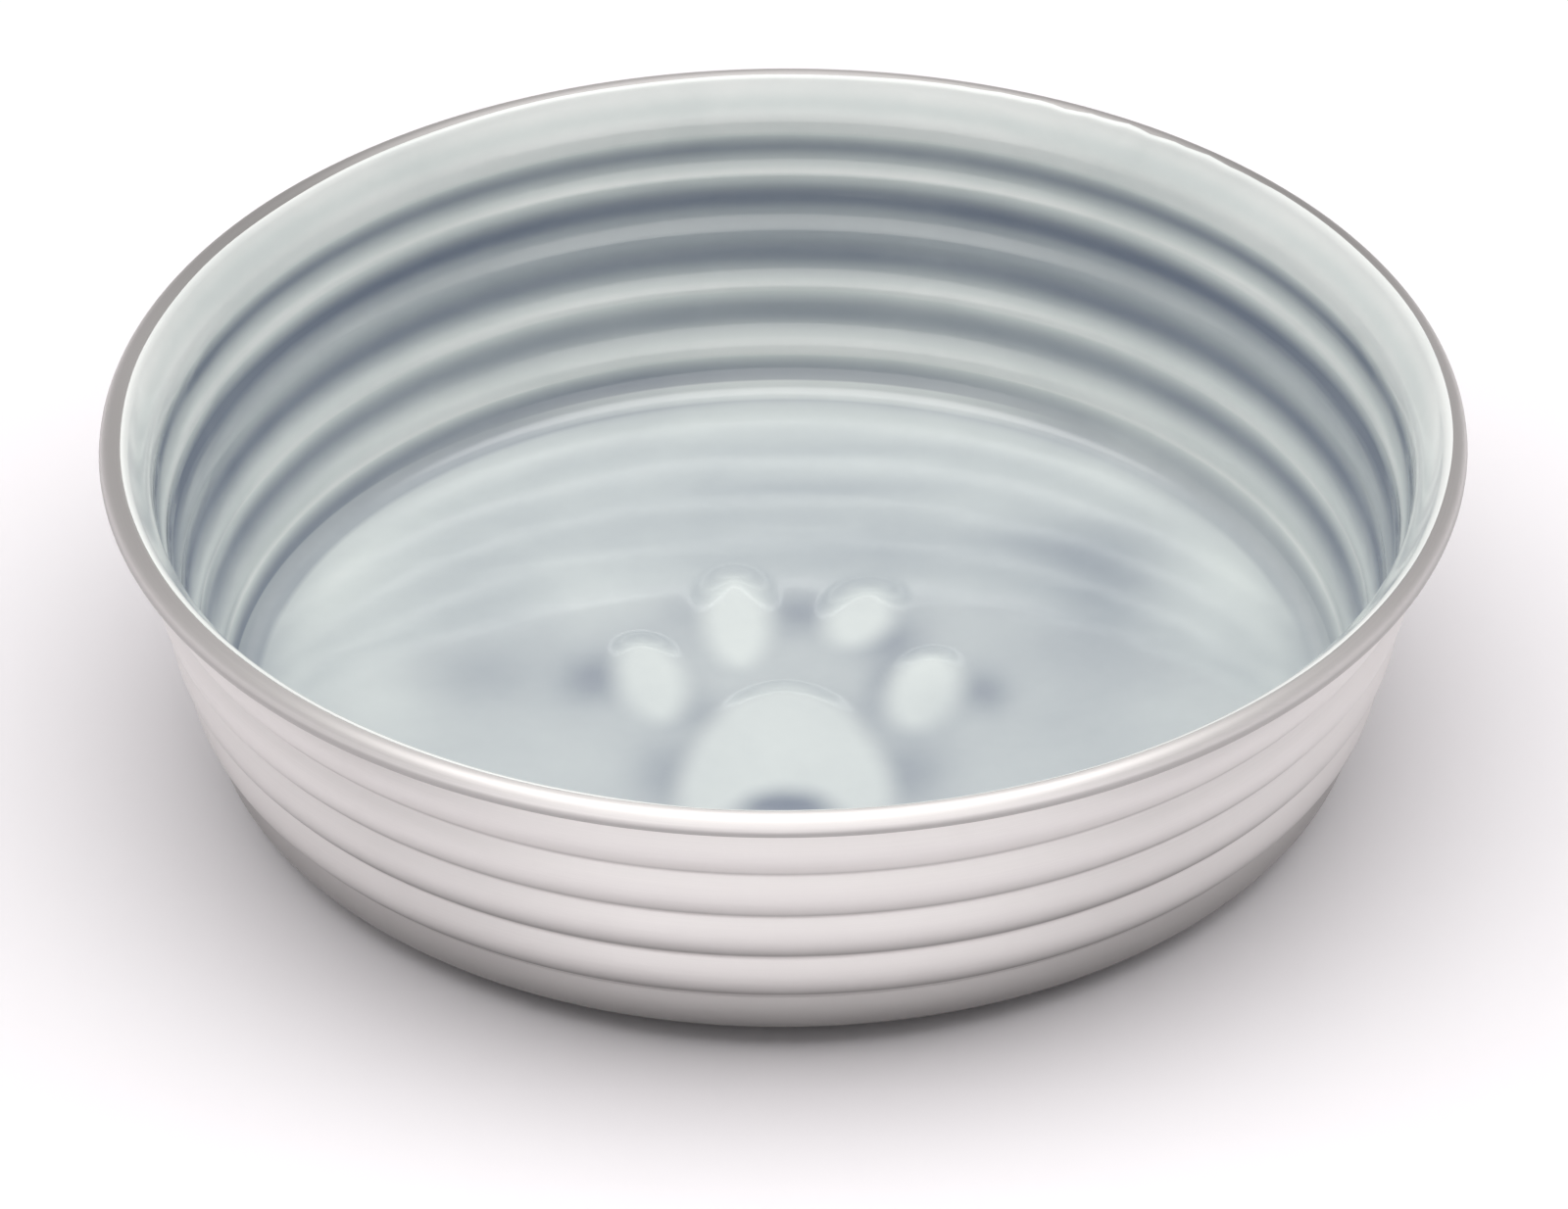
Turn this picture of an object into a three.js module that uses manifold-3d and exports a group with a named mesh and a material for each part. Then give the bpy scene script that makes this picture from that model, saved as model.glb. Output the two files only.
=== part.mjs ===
// A round pet bowl: a pressed steel shell with stacked hoops and a rolled rim,
// a poured enamel lining over a raised paw, and a rubber foot ring.
// Millimetres, +Z up. The origin is the middle of the foot ring's resting face.
import * as THREE from "three";
import { mergeVertices } from "three/addons/utils/BufferGeometryUtils.js";
import Module from "manifold-3d";

// Overall size
const RIM_DIAMETER = 178;
const BOWL_HEIGHT = 46;

// Steel shell: sheet thickness, rolled rim, flared lip and hooped wall
const SHEET = 0.8;
const BEAD_DIAMETER = 3.4;
const CURL_TURN = 265;
const FLARE_RUN = 2.3;
const FLARE_RISE = 3.8;
const WALL_RUN = 13.6;
const WALL_CURVE = 0.54;
const HOOP_COUNT = 5;
const HOOP_DEPTH = 1.3;
const GROOVE_ROUNDING = 0.12;

// Foot ring and the seat pressed for it
const FOOT_PROUD = 1.2;
const FOOT_ROUNDING = 0.4;
const SEAT_INSET = 5;
const SEAT_WIDTH = 9;
const SEAT_DEPTH = 0.8;
const SEAT_FLANK = 0.5;

// Enamel: thinnest coat, extra depth in the flutes, lap onto the rim and corner at the floor
const ENAMEL_COAT = 0.5;
const ENAMEL_POOL = 0.3;
const ENAMEL_LAP = 14;
const ENAMEL_EDGE = 0.15;
const MENISCUS = 2;

// Paw: width as a share of the floor, height pressed into the sheet, height left showing in the
// enamel, and width of the sloping shoulder round each pad
const PAW_SHARE = 0.33;
const PAW_RISE = 1.5;
const PAW_SHOW = 0.5;
const PAD_SHOULDER = 2;

// Fits
const BOND_GAP = 0.2;
const RING_CLEARANCE = 0.2;

// Facets
const SEGMENTS = 40;
const HOOP_STEPS = 4;
const CURL_STEPS = 7;
const MENISCUS_STEPS = 4;
const TOE_SEGMENTS = 16;
const MAIN_PAD_SEGMENTS = 48;
const PAD_STEPS = 3;

const halfSheet = SHEET / 2;
const rimRadius = RIM_DIAMETER / 2;
const beadRadius = BEAD_DIAMETER / 2;
const neckRadius = rimRadius - BEAD_DIAMETER - FLARE_RUN;
const neckLevel = BOWL_HEIGHT - beadRadius - FLARE_RISE;
const floorRadius = neckRadius - WALL_RUN;
const floorLevel = FOOT_PROUD + halfSheet;
const seatOuter = floorRadius - SEAT_INSET;
const seatInner = seatOuter - SEAT_WIDTH;
const enamelOffset = halfSheet + BOND_GAP;
const enamelDepth = Math.max(PAW_RISE - PAW_SHOW, SEAT_DEPTH) + ENAMEL_COAT;
const enamelLevel = floorLevel + enamelOffset + enamelDepth;
const pawWidth = 2 * floorRadius * PAW_SHARE;

// Toes of the paw in shares of its width: centre, half width, half length and lean in degrees
const TOES = [
  { x: -0.381, y: 0.055, wide: 0.104, long: 0.216, lean: 11 },
  { x: -0.137, y: 0.358, wide: 0.1, long: 0.245, lean: 2 },
  { x: 0.22, y: 0.377, wide: 0.1, long: 0.165, lean: -16 },
  { x: 0.397, y: -0.006, wide: 0.106, long: 0.2, lean: -12 },
];

// One side of the main pad's outline in shares of the paw's width, from the notch to the top
const MAIN_PAD_SIDE = [
  new THREE.Vector3(0, -0.494, 0),
  new THREE.Vector3(0.085, -0.525, 0),
  new THREE.Vector3(0.155, -0.613, 0),
  new THREE.Vector3(0.23, -0.649, 0),
  new THREE.Vector3(0.304, -0.591, 0),
  new THREE.Vector3(0.304, -0.436, 0),
  new THREE.Vector3(0.25, -0.241, 0),
  new THREE.Vector3(0.152, -0.056, 0),
  new THREE.Vector3(0, 0.026, 0),
];

// Height of a hoop across its pitch: a broad round crest between narrow rounded grooves.
function hoopHeight(share) {
  const wave = Math.hypot(Math.sin(Math.PI * share), GROOVE_ROUNDING) - GROOVE_ROUNDING;
  const crest = Math.hypot(1, GROOVE_ROUNDING) - GROOVE_ROUNDING;
  return wave / crest;
}

// The wall without its hoops, from the floor at 0 to the neck at 1.
function plainWall(share) {
  const radius = floorRadius + WALL_RUN * share ** WALL_CURVE;
  const level = floorLevel + (neckLevel - floorLevel) * share;
  return new THREE.Vector2(radius, level);
}

// The wall with its hoops pushed outward.
function hoopedWall(share) {
  const nudge = 0.001;
  const along = plainWall(Math.min(share + nudge, 1)).sub(plainWall(Math.max(share - nudge, 0))).normalize();
  const outward = new THREE.Vector2(along.y, -along.x);
  return plainWall(share).addScaledVector(outward, HOOP_DEPTH * hoopHeight(share * HOOP_COUNT));
}

// Even steps from 0 to 1.
function steps(count) {
  return Array.from({ length: count + 1 }, (_, step) => step / count);
}

// A line moved sideways to its left, by one distance for each point, with parallel sides at the corners.
function moved(line, distances) {
  return line.map((point, place) => {
    const before = line[Math.max(place - 1, 0)];
    const after = line[Math.min(place + 1, line.length - 1)];
    const arriving = (place === 0 ? after.clone().sub(point) : point.clone().sub(before)).normalize();
    const leaving = (place === line.length - 1 ? arriving.clone() : after.clone().sub(point)).normalize();
    const middle = arriving.clone().add(leaving).normalize();
    const side = new THREE.Vector2(-middle.y, middle.x);
    return point.clone().addScaledVector(side, distances[place] / middle.dot(arriving));
  });
}

function movedEvenly(line, distance) {
  return moved(line, line.map(() => distance));
}

function revolved(profile, segments) {
  return new THREE.LatheGeometry(profile, segments).rotateX(Math.PI / 2);
}

const solids = await Module();
solids.setup();

function toSolid(geometry) {
  const bare = geometry.clone();
  bare.deleteAttribute("normal");
  bare.deleteAttribute("uv");
  const merged = mergeVertices(bare);
  const mesh = new solids.Mesh({
    numProp: 3,
    vertProperties: new Float32Array(merged.attributes.position.array),
    triVerts: new Uint32Array(merged.index.array),
  });
  return new solids.Manifold(mesh);
}

function toGeometry(solid) {
  const mesh = solid.getMesh();
  const geometry = new THREE.BufferGeometry();
  geometry.setAttribute("position", new THREE.BufferAttribute(mesh.vertProperties, 3));
  geometry.setIndex(new THREE.BufferAttribute(mesh.triVerts, 1));
  geometry.computeVertexNormals();
  return geometry;
}

// Outlines of the pads, anticlockwise from above.
function toeOutline(toe) {
  const lean = THREE.MathUtils.degToRad(toe.lean);
  const curve = new THREE.EllipseCurve(toe.x, toe.y, toe.wide, toe.long, 0, 2 * Math.PI, false, lean);
  return curve.getPoints(TOE_SEGMENTS).slice(1);
}

function mainPadOutline() {
  const mirrored = MAIN_PAD_SIDE.slice(1, -1).map((point) => new THREE.Vector3(-point.x, point.y, 0));
  const curve = new THREE.CatmullRomCurve3([...MAIN_PAD_SIDE, ...mirrored.reverse()], true, "catmullrom");
  const points = curve.getPoints(MAIN_PAD_SEGMENTS).slice(1);
  return points.map((point) => new THREE.Vector2(point.x, point.y));
}

const padOutlines = [...TOES.map(toeOutline), mainPadOutline()];
padOutlines.flat().forEach((point) => point.multiplyScalar(pawWidth));

// A closed outline drawn in evenly all round.
function drawnIn(outline, inset) {
  return movedEvenly([outline.at(-1), ...outline, outline[0]], inset).slice(1, -1);
}

// One pad as a solid: it reaches below the given level by its root, and above it a soft shoulder
// slopes in from the outline to a level top.
function padSolid(outline, level, rise, root) {
  const runout = 0.05;
  const shoulder = steps(PAD_STEPS).map((share) => ({
    inset: PAD_SHOULDER * share,
    height: THREE.MathUtils.lerp(-runout, rise, THREE.MathUtils.smoothstep(share, 0, 1)),
  }));
  const rows = [{ inset: 0, height: -root }, ...shoulder];
  const rings = rows.map((row) => drawnIn(outline, row.inset));
  const corners = rings.flatMap((ring, row) => {
    const height = level + rows[row].height;
    return ring.flatMap((point) => [point.x, point.y, height]);
  });
  const count = outline.length;
  const faces = [];
  for (let low = 0; low < count * (rows.length - 1); low += count) {
    for (let corner = 0; corner < count; corner += 1) {
      const next = (corner + 1) % count;
      faces.push(low + corner, low + next, low + count + next);
      faces.push(low + corner, low + count + next, low + count + corner);
    }
  }
  const under = THREE.ShapeUtils.triangulateShape(outline, []);
  const over = THREE.ShapeUtils.triangulateShape(rings.at(-1), []);
  under.forEach(([first, second, third]) => faces.push(first, third, second));
  over.flat().forEach((corner) => faces.push(corner + count * (rows.length - 1)));
  const geometry = new THREE.BufferGeometry();
  geometry.setAttribute("position", new THREE.Float32BufferAttribute(corners, 3));
  geometry.setIndex(faces);
  return toSolid(geometry);
}

function pawSolid(level, rise, root) {
  return solids.Manifold.union(padOutlines.map((outline) => padSolid(outline, level, rise, root)));
}

// The middle of the sheet, from the axis across the floor, up the wall and round the rim
const floorLine = [
  new THREE.Vector2(0, floorLevel),
  new THREE.Vector2(seatInner, floorLevel),
  new THREE.Vector2(seatInner + SEAT_FLANK, floorLevel + SEAT_DEPTH),
  new THREE.Vector2(seatOuter - SEAT_FLANK, floorLevel + SEAT_DEPTH),
  new THREE.Vector2(seatOuter, floorLevel),
];
const wallShares = steps(HOOP_COUNT * HOOP_STEPS);
const wallLine = wallShares.map(hoopedWall);

// The rim rolls outward from a flare that leaves the neck straight for the bead.
const curlRadius = beadRadius - halfSheet;
const beadCentre = new THREE.Vector2(rimRadius - beadRadius, BOWL_HEIGHT - beadRadius);
const flare = beadCentre.clone().sub(wallLine.at(-1));
const curlStart = flare.angle() + Math.asin(curlRadius / flare.length()) + Math.PI / 2;
const lapAngle = curlStart - THREE.MathUtils.degToRad(ENAMEL_LAP);
const curlEnd = curlStart - THREE.MathUtils.degToRad(CURL_TURN);

function curlPoint(angle) {
  const spoke = new THREE.Vector2(Math.cos(angle), Math.sin(angle));
  return beadCentre.clone().addScaledVector(spoke, curlRadius);
}

const lapLine = [curlPoint(curlStart), curlPoint(lapAngle)];
const curlLine = steps(CURL_STEPS)
  .slice(1)
  .map((share) => curlPoint(THREE.MathUtils.lerp(lapAngle, curlEnd, share)));
const coatedLine = [...floorLine, ...wallLine, ...lapLine];
const sheetLine = [...coatedLine, ...curlLine];

// Steel shell: the two faces of the sheet, with the paw pressed up through its floor
const shellProfile = [...movedEvenly(sheetLine, -halfSheet), ...movedEvenly(sheetLine, halfSheet).reverse()];
const shell = toSolid(revolved(shellProfile, SEGMENTS))
  .add(pawSolid(floorLevel + halfSheet, PAW_RISE, halfSheet))
  .subtract(pawSolid(floorLevel - halfSheet, PAW_RISE, SHEET));

// Enamel lining: it follows the sheet below, and above it lies level on the floor,
// turns up through a meniscus and thickens in every flute of the wall.
const wallCoats = wallShares.map((share) => ENAMEL_COAT + ENAMEL_POOL * hoopHeight(share * HOOP_COUNT));
const risingCoats = [...wallCoats, ENAMEL_COAT, ENAMEL_EDGE];
const coatFace = moved([...wallLine, ...lapLine], risingCoats.map((coat) => enamelOffset + coat));
const wallFace = coatFace.filter((point) => point.y > enamelLevel + MENISCUS);
const meniscusTop = wallFace[0];
const meniscus = new THREE.QuadraticBezierCurve(
  new THREE.Vector2(meniscusTop.x - MENISCUS, enamelLevel),
  new THREE.Vector2(meniscusTop.x, enamelLevel),
  meniscusTop,
);
const liningTop = [
  new THREE.Vector2(0, enamelLevel),
  ...meniscus.getPoints(MENISCUS_STEPS),
  ...wallFace.slice(1),
];
const liningProfile = [...movedEvenly(coatedLine, enamelOffset), ...liningTop.reverse()];
const lining = toSolid(revolved(liningProfile, SEGMENTS))
  .add(pawSolid(enamelLevel, PAW_SHOW, ENAMEL_COAT / 2))
  .subtract(pawSolid(floorLevel + enamelOffset, PAW_RISE, SHEET));

// Rubber foot ring: a flat band with rounded lower edges, held in the seat
const footInner = seatInner + SEAT_FLANK + halfSheet + RING_CLEARANCE;
const footOuter = seatOuter - SEAT_FLANK - halfSheet - RING_CLEARANCE;
const footTop = FOOT_PROUD + SEAT_DEPTH - BOND_GAP;
const footProfile = [
  new THREE.Vector2(footInner, FOOT_ROUNDING),
  new THREE.Vector2(footInner + FOOT_ROUNDING * 0.3, FOOT_ROUNDING * 0.3),
  new THREE.Vector2(footInner + FOOT_ROUNDING, 0),
  new THREE.Vector2(footOuter - FOOT_ROUNDING, 0),
  new THREE.Vector2(footOuter - FOOT_ROUNDING * 0.3, FOOT_ROUNDING * 0.3),
  new THREE.Vector2(footOuter, FOOT_ROUNDING),
  new THREE.Vector2(footOuter, footTop),
  new THREE.Vector2(footInner, footTop),
  new THREE.Vector2(footInner, FOOT_ROUNDING),
];

const bowl = new THREE.Group();
bowl.name = "pet_bowl";

function addPiece(name, geometry, look) {
  const piece = new THREE.Mesh(geometry, new THREE.MeshStandardMaterial(look));
  piece.name = name;
  bowl.add(piece);
}

addPiece("steel_shell", toGeometry(shell), { color: 0xd9d3cf, metalness: 1, roughness: 0.38 });
addPiece("enamel_lining", toGeometry(lining), { color: 0xd6dcda, metalness: 0, roughness: 0.12 });
const footRing = revolved(footProfile, SEGMENTS);
addPiece("rubber_foot_ring", footRing, { color: 0x1f1f20, metalness: 0, roughness: 0.8 });

export default bowl;
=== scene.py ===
"""Round steel pet bowl with a poured enamel lining, dressed around its packed CAD frame."""

import math

import bpy
import numpy as np
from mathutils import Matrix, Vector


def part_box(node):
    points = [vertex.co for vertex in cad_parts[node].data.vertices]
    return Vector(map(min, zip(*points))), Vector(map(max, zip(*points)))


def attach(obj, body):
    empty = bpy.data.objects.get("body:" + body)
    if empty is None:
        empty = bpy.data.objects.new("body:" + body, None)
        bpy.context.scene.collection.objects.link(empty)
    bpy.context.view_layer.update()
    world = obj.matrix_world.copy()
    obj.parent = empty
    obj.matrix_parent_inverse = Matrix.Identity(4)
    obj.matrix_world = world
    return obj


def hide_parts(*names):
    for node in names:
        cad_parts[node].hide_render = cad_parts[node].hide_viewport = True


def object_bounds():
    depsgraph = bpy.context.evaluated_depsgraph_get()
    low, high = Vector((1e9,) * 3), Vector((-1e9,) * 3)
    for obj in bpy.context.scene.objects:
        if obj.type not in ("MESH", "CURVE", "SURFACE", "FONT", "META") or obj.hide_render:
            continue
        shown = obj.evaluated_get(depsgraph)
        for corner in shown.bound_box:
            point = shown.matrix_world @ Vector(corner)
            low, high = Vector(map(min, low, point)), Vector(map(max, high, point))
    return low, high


bl_info = {
    "name": "Hooped Pet Bowl",
    "version": (1, 0, 0),
    "blender": (4, 5, 0),
    "location": "View3D > Sidebar > Pet Bowl",
    "description": "Makes the shell, enamel lining and foot ring of a hooped pet bowl, and its stage",
    "category": "Add Mesh",
}

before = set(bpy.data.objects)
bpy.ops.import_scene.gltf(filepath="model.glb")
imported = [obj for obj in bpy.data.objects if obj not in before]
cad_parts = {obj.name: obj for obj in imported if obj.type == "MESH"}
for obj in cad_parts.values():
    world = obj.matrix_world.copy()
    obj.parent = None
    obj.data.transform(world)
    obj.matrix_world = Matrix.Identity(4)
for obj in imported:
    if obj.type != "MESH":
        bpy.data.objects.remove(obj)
CAD_LOW, CAD_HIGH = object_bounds()
SHELL_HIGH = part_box("steel_shell")[1]
FOOT_LOW, FOOT_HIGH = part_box("rubber_foot_ring")

# Toes of the paw in shares of its width: centre x and y, half width, half length, lean in degrees
TOES = np.array([
    (-0.381, 0.055, 0.104, 0.216, 11),
    (-0.137, 0.358, 0.1, 0.245, 2),
    (0.22, 0.377, 0.1, 0.165, -16),
    (0.397, -0.006, 0.106, 0.2, -12),
])

# One side of the main pad's outline in shares of the paw's width, from the notch to the top
MAIN_PAD_SIDE = np.array([
    (0, -0.494),
    (0.085, -0.525),
    (0.155, -0.613),
    (0.23, -0.649),
    (0.304, -0.591),
    (0.304, -0.436),
    (0.25, -0.241),
    (0.152, -0.056),
    (0, 0.026),
])

# Ridges of tint from the top down and at the floor: place in hoops below the neck, and depth of tint.
# The deep tint of the third entry, 0.46, is painted shade that darkens the middle of the wall.
RIDGE_LINES = np.array((0.13, 0.97, 1.95, 3, 4.07, 5))
RIDGE_TONES = np.array((0, 0, 0.46, 0, 0, 0.5))

# Depth of tint in the five flutes below the ridges
FLUTE_TONES = np.array((0.74, 0.93, 0.8, 0.68, 0.72))

# Pools in the enamel floor: place and reach in millimetres, and depth of tint, below 0 where it is thin
POOLS = np.array([
    # Open floor
    (37, 34, 12, 6, 0.18),
    (14, 34, 12, 5, 0.08),
    (40, 10, 13, 9, 0.12),
    (-40, 4, 9, 8, 0.14),
    (-53, -1, 7, 9, -0.12),
    (-59, 25, 10, 15, -0.17),
    (-25, 25, 9, 9, -0.13),
    (59, 26, 9, 12, -0.17),
    (43, 25, 8, 10, 0.24),
    (5, 57.5, 16, 2, 0.1),
    (4, 48.3, 14, 2, 0.12),
    # Round the pads
    (-25.5, 3.5, 4.5, 6, 0.26),
    (2, 18.5, 3.6, 5, 0.24),
    (14.6, 11.5, 4.2, 5.5, 0.26),
    (26.5, 0, 3.4, 5, 0.26),
    (13.2, 3, 2.6, 4.5, 0.16),
    (-15.8, -18, 4.5, 8, 0.2),
    (16.5, -18, 4.5, 8, 0.2),
    (-12, -4, 4, 5, 0.16),
    (12.6, -4, 4, 5, 0.16),
    (-14, 18.5, 4.5, 6, 0.1),
    (0, -26, 8, 3.4, 0.42),
])

# Step along the sheet line, in metres
LINE_STEP = 0.00005

# Room that the steel rim leaves under the CAD top for the enamel lapped over it
LAP_ROOM = 0.00018


class BowlSizes(bpy.types.PropertyGroup):
    """Sizes of the steel sheet and of the foot ring's seat"""

    rim_radius: bpy.props.FloatProperty(
        name="Rim radius", description="Middle of the bowl to the outside of the rolled rim",
        default=SHELL_HIGH.x, min=0.03, unit="LENGTH")
    height: bpy.props.FloatProperty(
        name="Height", description="Standing surface to the top of the rim",
        default=CAD_HIGH.z - LAP_ROOM, min=0.02, unit="LENGTH")
    sheet: bpy.props.FloatProperty(
        name="Sheet", description="Thickness of the steel sheet",
        default=0.0008, min=0.0003, unit="LENGTH")
    bead: bpy.props.FloatProperty(
        name="Bead", description="Thickness of the rolled rim",
        default=0.0034, min=0.002, unit="LENGTH")
    curl_turn: bpy.props.FloatProperty(
        name="Curl", description="How far the sheet is rolled round at the rim",
        default=math.radians(265), subtype="ANGLE")
    flare_run: bpy.props.FloatProperty(
        name="Flare run", description="Width of the flared lip inside the bead",
        default=0.0023, unit="LENGTH")
    flare_rise: bpy.props.FloatProperty(
        name="Flare rise", description="Height of the flared lip below the bead",
        default=0.0038, unit="LENGTH")
    wall_run: bpy.props.FloatProperty(
        name="Wall run", description="How far the wall leans out from floor to neck",
        default=0.0136, unit="LENGTH")
    wall_curve: bpy.props.FloatProperty(
        name="Wall curve", description="Power of the wall's curve: 1 is a straight cone",
        default=0.54, min=0.3, max=1)
    hoops: bpy.props.IntProperty(
        name="Hoops", description="Hoops pressed into the wall", default=5, min=1, max=12)
    hoop_depth: bpy.props.FloatProperty(
        name="Hoop depth", description="Height of each hoop over its grooves",
        default=0.0013, unit="LENGTH")
    groove_rounding: bpy.props.FloatProperty(
        name="Groove rounding", description="Roundness of the grooves between the hoops",
        default=0.12, min=0.02, max=1)
    foot_proud: bpy.props.FloatProperty(
        name="Foot proud", description="How far the foot ring holds the steel off the ground",
        default=0.0012, unit="LENGTH")
    seat_inset: bpy.props.FloatProperty(
        name="Seat inset", description="Edge of the floor to the foot ring's seat",
        default=0.005, unit="LENGTH")
    seat_width: bpy.props.FloatProperty(
        name="Seat width", description="Width of the foot ring's seat", default=0.009, unit="LENGTH")
    seat_depth: bpy.props.FloatProperty(
        name="Seat depth", description="Depth of the foot ring's seat", default=0.0008, unit="LENGTH")
    seat_flank: bpy.props.FloatProperty(
        name="Seat flank", description="Width of the seat's sloping sides",
        default=0.0005, unit="LENGTH")
    paw_share: bpy.props.FloatProperty(
        name="Paw share", description="Width of the paw as a share of the floor",
        default=0.33, min=0.1, max=0.6)
    paw_rise: bpy.props.FloatProperty(
        name="Paw rise", description="Height of the paw pressed into the steel",
        default=0.0015, unit="LENGTH")
    pad_shoulder: bpy.props.FloatProperty(
        name="Pad shoulder", description="Width of the slope round each pad",
        default=0.002, unit="LENGTH")


class EnamelSettings(bpy.types.PropertyGroup):
    """Thickness and colours of the enamel"""

    gap: bpy.props.FloatProperty(
        name="Bond", description="Bond between the enamel and the steel", default=0.0002, unit="LENGTH")
    coat: bpy.props.FloatProperty(
        name="Coat", description="Thinnest coat", default=0.0006, unit="LENGTH")
    pool: bpy.props.FloatProperty(
        name="Pool", description="Extra depth in the middle of each flute",
        default=0.0008, unit="LENGTH")
    edge: bpy.props.FloatProperty(
        name="Edge", description="Thickness at the edge on the rim", default=0.00006, unit="LENGTH")
    paw_show: bpy.props.FloatProperty(
        name="Paw show", description="Height of the pads over the enamel floor",
        default=0.0005, unit="LENGTH")
    meniscus: bpy.props.FloatProperty(
        name="Meniscus", description="How far the enamel climbs the wall from the floor",
        default=0.0016, unit="LENGTH")
    pad_softness: bpy.props.FloatProperty(
        name="Pad softness", description="How far the enamel rounds off either side of a pad's outline",
        default=0.0028, min=0.0005, unit="LENGTH")
    lap: bpy.props.FloatProperty(
        name="Lap", description="How far round the bead the enamel reaches",
        default=math.radians(23), subtype="ANGLE")
    pale: bpy.props.FloatVectorProperty(
        name="Pale", description="Colour where the enamel is thin", subtype="COLOR",
        default=(0.75, 0.805, 0.79), min=0, max=1)
    # Near white: partly the thin enamel on the rim, partly a painted highlight of the light on the rounded
    # lip
    lip: bpy.props.FloatVectorProperty(
        name="Lip", description="Colour where the enamel thins out on the rim", subtype="COLOR",
        default=(0.92, 0.95, 0.93), min=0, max=1)
    slate: bpy.props.FloatVectorProperty(
        name="Slate", description="Colour where the enamel pools", subtype="COLOR",
        default=(0.155, 0.19, 0.265), min=0, max=1)
    roughness: bpy.props.FloatProperty(
        name="Roughness", description="Roughness of the enamel's gloss",
        default=0.07, min=0, max=1, subtype="FACTOR")


class MetalSettings(bpy.types.PropertyGroup):
    """Finish of the steel and of the rubber, and the shade painted on the steel"""

    steel: bpy.props.FloatVectorProperty(
        name="Steel", description="Colour of the stainless sheet", subtype="COLOR",
        default=(0.82, 0.795, 0.785), min=0, max=1)
    satin: bpy.props.FloatProperty(
        name="Satin", description="Mean roughness of the steel",
        default=0.42, min=0.05, max=1, subtype="FACTOR")
    dulled: bpy.props.FloatProperty(
        name="Dulled", description="How much rougher the handled rim is",
        default=0.02, min=0, max=0.5, subtype="FACTOR")
    brushing: bpy.props.FloatProperty(
        name="Brushing", description="How far the turned lines spread a reflection across themselves",
        default=0.85, min=0, max=1, subtype="FACTOR")
    # Painted shade: how far the steel's colour is darkened in the grooves, under and behind the rim, and
    # near the ground as a reflection of the floor's shadow
    painted_shade: bpy.props.FloatProperty(
        name="Painted shade", description="How dark the steel is in the grooves and towards the ground",
        default=0.75, min=0, max=1, subtype="FACTOR")
    rubber: bpy.props.FloatVectorProperty(
        name="Rubber", description="Colour of the foot ring", subtype="COLOR",
        default=(0.018, 0.018, 0.019), min=0, max=1)


class StageSettings(bpy.types.PropertyGroup):
    """Camera, light and floor"""

    elevation: bpy.props.FloatProperty(
        name="Elevation", description="Camera height above the horizon",
        default=math.radians(33.59), subtype="ANGLE")
    tilt: bpy.props.FloatProperty(
        name="Tilt", description="Extra downward turn that lifts the rim in the frame",
        default=math.radians(0.699), subtype="ANGLE")
    roll: bpy.props.FloatProperty(
        name="Roll", description="Turn of the camera about its own line of sight",
        default=math.radians(-0.31), subtype="ANGLE")
    distance: bpy.props.FloatProperty(
        name="Distance", description="Camera to the middle of the rim", default=1.78, unit="LENGTH")
    lens: bpy.props.FloatProperty(
        name="Lens", description="Focal length on a 36 mm wide frame, in millimetres",
        default=314.06, min=20)
    floor: bpy.props.FloatVectorProperty(
        name="Floor", description="Colour of the floor",
        subtype="COLOR", default=(0.98, 0.962, 0.988), min=0, max=1)
    sky: bpy.props.FloatProperty(
        name="Sky", description="Light from all round", default=0.16, min=0)
    surround: bpy.props.FloatProperty(
        name="Surround", description="Brightness of the studio all round as the metal shows it",
        default=0.46, min=0)
    fill: bpy.props.FloatProperty(
        name="Fill", description="Strength of the soft light from the camera's side",
        default=0.2, min=0)
    front: bpy.props.FloatProperty(
        name="Front", description="Brightness of the camera's side as the metal shows it",
        default=0.85, min=0)
    back: bpy.props.FloatProperty(
        name="Back", description="Strength of the soft light from the far side", default=0.28, min=0)
    key: bpy.props.FloatProperty(
        name="Key", description="Strength of the long light overhead", default=2.0, min=0)
    key_lean: bpy.props.FloatProperty(
        name="Key lean", description="Lean of the overhead light towards the back",
        default=math.radians(3), subtype="ANGLE")
    key_reach: bpy.props.FloatProperty(
        name="Key reach", description="Half width of the overhead light",
        default=math.radians(27), subtype="ANGLE")
    key_edge: bpy.props.FloatProperty(
        name="Key edge", description="Half width of the overhead light's soft edge",
        default=math.radians(10), subtype="ANGLE")
    key_length: bpy.props.FloatProperty(
        name="Key length", description="Length of the overhead light from left to right, in widths",
        default=4.5, min=1)
    key_shown: bpy.props.FloatProperty(
        name="Key shown", description="Length of the overhead light as the metal shows it, in widths",
        default=1.2, min=0.5)


def smooth(low, high, value):
    """Rises from 0 at low to 1 at high along a cubic with level ends."""
    share = np.clip((value - low) / (high - low), 0, 1)
    return share * share * (3 - 2 * share)


def bell(value, middle, spread):
    """1 at the middle, falling off either side by exp(-d^2) of the distance in spreads."""
    return np.exp(-(((value - middle) / spread) ** 2))


def hoop_height(share, rounding):
    """Height of a hoop across its pitch: hypot(sin(pi s), c) - c, scaled to 1 at the crest.

    It gives a broad round crest between narrow grooves, and c rounds the grooves.
    """
    wave = np.hypot(np.sin(np.pi * share), rounding) - rounding
    return wave / (np.hypot(1, rounding) - rounding)


def closed_curve(points, steps):
    """Smooth closed curve through points: a cubic over each span, sloped by its neighbours' chords."""
    share = np.linspace(0, 1, steps, endpoint=False)[None, :, None]
    before, here, there, after = (np.roll(points, turn, axis=0)[:, None] for turn in (1, 0, -1, -2))
    curve = 2 * here + (there - before) * share + (2 * before - 5 * here + 4 * there - after) * share ** 2
    return ((curve + (3 * here - before - 3 * there + after) * share ** 3) / 2).reshape(-1, 2)


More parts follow.
